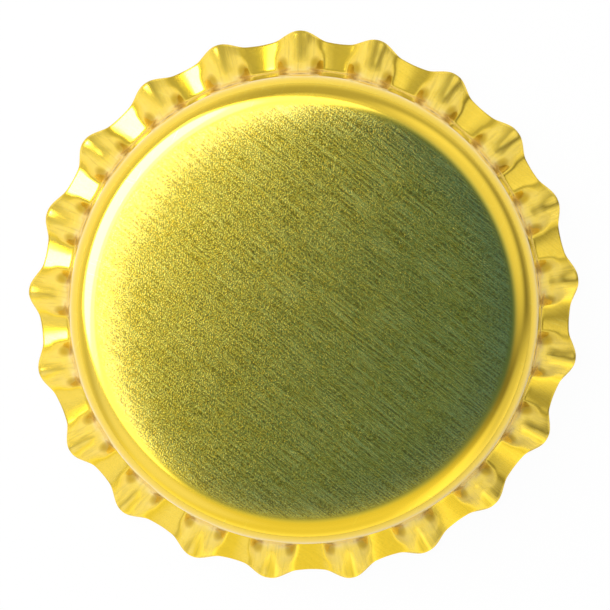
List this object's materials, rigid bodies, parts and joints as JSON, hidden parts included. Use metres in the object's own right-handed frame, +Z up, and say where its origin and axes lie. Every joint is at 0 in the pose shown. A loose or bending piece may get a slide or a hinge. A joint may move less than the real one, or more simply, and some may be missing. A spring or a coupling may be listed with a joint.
{
  "type": "crown bottle cap",
  "caption": "Round stamped metal cap with a flat top, a rolled shoulder and a flared, fluted skirt, with a sealing liner inside.",
  "frame": {"origin": "on the cap's axis, in the plane that its rim stands on", "axes": "+Z up along the cap's axis, out of the flat top; +Y through the tip of one tooth; -Y through the middle of a flute's lip"},
  "size_m": [0.032, 0.0319, 0.006],
  "materials": {
    "lacquered_tinplate": "transparent gold lacquer over bright brushed tinplate",
    "sealing_compound": "moulded off-white polyethylene with a soft sheen"
  },
  "bodies": {
    "root": {"shell": "lacquered_tinplate", "liner": "sealing_compound"}
  },
  "joints": []
}
